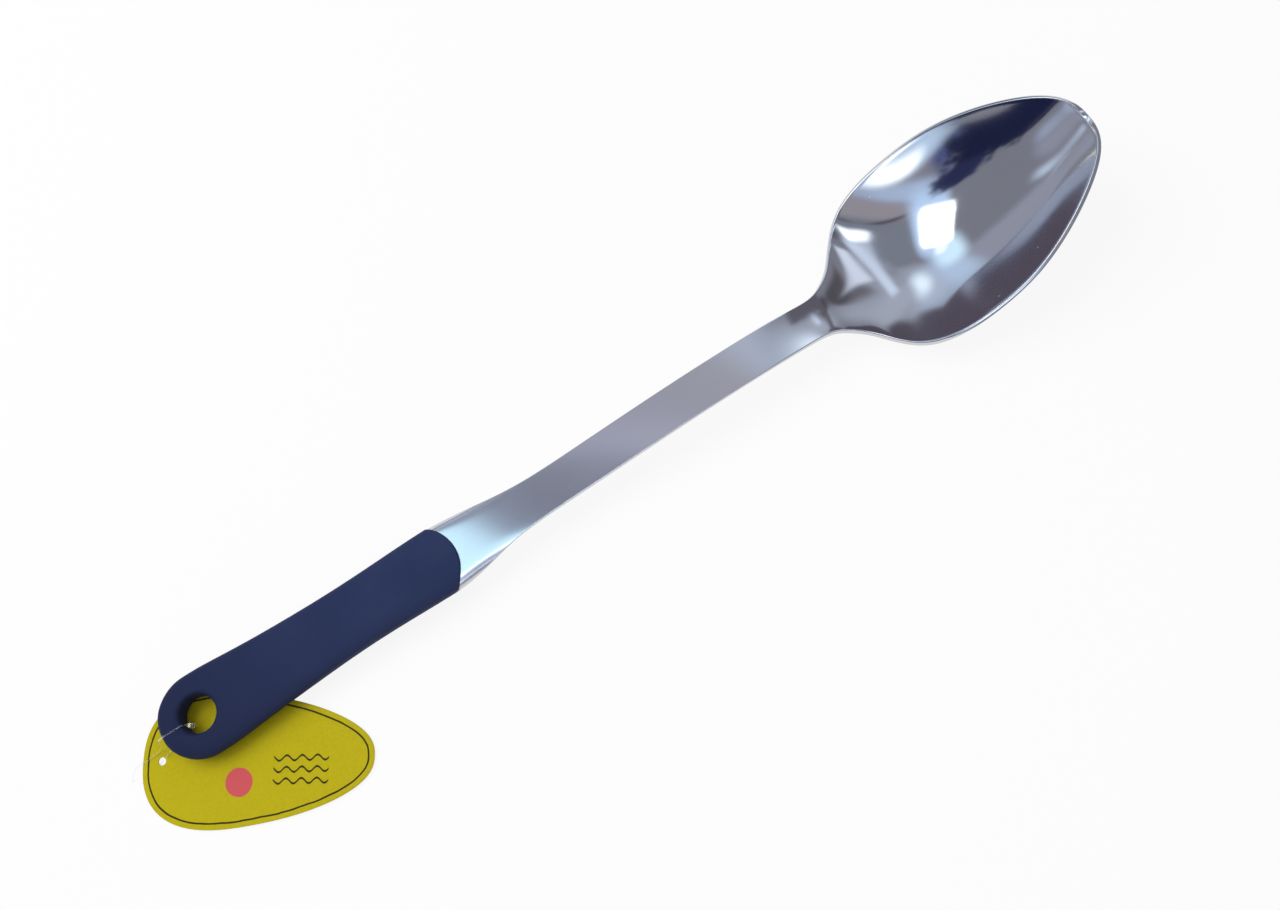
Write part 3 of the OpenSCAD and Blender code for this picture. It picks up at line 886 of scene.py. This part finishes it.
def patches(m, way, east, north, colour):
    """The dome's painted reflection patches over colour."""
    wobble = m.math("SUBTRACT", m.noise(way, 14.0, 3, 0.6), 0.5)
    for (x, y), (wide, high), turn, lean, power, soft, ragged, paint in ROOM:
        a, b = math.radians(turn), math.radians(turn + lean)
        dx, dy = m.math("SUBTRACT", east, x), m.math("SUBTRACT", north, y)
        u = m.math("ADD", m.product(dx, math.cos(a) / wide), m.product(dy, math.sin(a) / wide))
        v = m.math("ADD", m.product(dx, -math.sin(b) / high), m.product(dy, math.cos(b) / high))
        u, v = [m.math("POWER", m.math("ABSOLUTE", w), power) for w in (u, v)]
        reach = m.math("POWER", m.math("ADD", u, v), 1 / power)
        reach = m.math("ADD", reach, m.product(wobble, ragged))
        colour = m.mix(m.ramp(reach, 1 + soft, 1 - soft), colour, (*paint, 1))
    return colour


def bends(m, east, north, colour):
    """The dome's curved painted highlight streaks over colour."""
    fade = 0.15
    for (x, y), r, half, soft, (low, high), paint in BENDS:
        dx, dy = m.math("SUBTRACT", east, x), m.math("SUBTRACT", north, y)
        reach = m.math("SQRT", m.math("ADD", m.product(dx, dx), m.product(dy, dy)))
        across = m.ramp(m.off(reach, r), half * (1 + soft), half * (1 - soft))
        turn = m.math("DEGREES", m.math("ARCTAN2", dy, dx))
        middle, spread = (low + high) / 2, (high - low) / 2
        lengthways = m.ramp(m.off(turn, middle), spread * (1 + fade), spread * (1 - fade))
        colour = m.mix(m.product(across, lengthways), colour, (*paint, 1))
    return colour


def mirrored_again(m, east, north):
    """Colour of the dome in a reflection that another part of the steel mirrors."""
    band_edge, band_south, band_east = (0.8, -0.8), (8, 10), (-8, -13)
    line_edge, line_east = (1.3, 0.4), (-12, -18)
    edge = m.math("ADD", m.product(east, east, BROW_BEND), BROW_NORTH)
    brow = m.math("SUBTRACT", north, edge)
    band = m.product(m.ramp(brow, *band_edge), m.ramp(north, *band_south), m.ramp(east, *band_east))
    line = m.product(m.ramp(m.math("ABSOLUTE", brow), *line_edge), m.ramp(east, *line_east))
    return m.mix(line, m.mix(band, AGAIN_DARK, AGAIN_PALE), AGAIN_LINE)


def low_wall():
    """Low glowing grey wall round the object, a painted reflection that the bowl's tip mirrors in place of
    the far floor. It is dark blue where the dome above it is."""
    sides, r, low, high = 64, 360, 0.5, 42
    grey, blue = (0.30, 0.31, 0.37, 1), (0.015, 0.02, 0.065, 1)
    blue_from, blue_to = (-150, -145), (-122, -127)
    points = [(r * math.cos(2 * math.pi * j / sides), r * math.sin(2 * math.pi * j / sides), z)
              for z in (low, high) for j in range(sides)]
    obj = new_object("low_wall", points, quads(1, sides))
    m = Nodes("low_wall")
    parts = m.parts(m.place())
    bearing = m.math("DEGREES", m.math("ARCTAN2", parts["Y"], parts["X"]))
    share = m.product(m.ramp(bearing, *blue_from), m.ramp(bearing, *blue_to))
    m.show(m.glow(m.mix(share, grey, blue)))
    obj.data.materials.append(m.material)
    mirrored_only(obj)


def low_card(name, spans, height, paint):
    """Low level glowing card that only the steel mirrors, for painted reflections. paint gives its colour,
    and the share of it that isn't clear, from X and Y.
    """
    obj = level_square(name, *spans, height)
    m = Nodes(name)
    parts = m.parts(m.place())
    colour, share = paint(m, parts["X"], parts["Y"])
    m.show(m.add("BsdfTransparent").outputs[0], m.glow(colour), share)
    obj.data.materials.append(m.material)
    mirrored_only(obj)


def shade_paint(m, x, y):
    """Painted reflections for the shaft: pale blue towards the grip and grey beyond, with a slanted pale
    stripe.
    """
    (_, east), (south, _) = SHADE_SPANS
    east_fade, south_fade = 20, 6
    stripe_rise, stripe_fall, stripe_share = (-16, -8), (14, 4), 0.7
    slanted = m.slanted(x, y, pivot=10, slant=0.5)
    colour = (*SHADES[0][1], 1)
    for (place, paint), (last, _) in zip(SHADES[1:], SHADES):
        colour = m.mix(m.ramp(slanted, last, place), colour, (*paint, 1))
    across = m.slanted(x, y, pivot=13, slant=1.4)
    stripe = m.product(m.ramp(across, *stripe_rise), m.ramp(across, *stripe_fall), stripe_share)
    colour = m.mix(stripe, colour, (0.58, 0.60, 0.74, 1))
    return colour, m.product(m.ramp(x, east, east - east_fade), m.ramp(y, south, south + south_fade))


def neck_paint(m, x, y):
    """Painted dark reflection for the neck: dark grey with soft ends and a soft near side."""
    (west, east), (south, _) = NECK_SPANS
    west_fade, east_fade, south_fade = 3, 4, 1.4
    length = m.product(m.ramp(x, west, west + west_fade), m.ramp(x, east, east - east_fade))
    return (0.16, 0.15, 0.19, 1), m.product(length, m.ramp(y, south, south + south_fade))


camera()
world()
floor()
room()
low_wall()
low_card("shade_card", SHADE_SPANS, SHADE_Z, shade_paint)
low_card("neck_card", NECK_SPANS, NECK_Z, neck_paint)
lamp("key_lamp", place=(-0.5, 0.5, 1.0), size=0.9, power=9)
bpy.context.scene.view_settings.view_transform = "Standard"
lock = lock_piece()
tag_piece()
loop_piece()
steel_piece()
grip_piece()
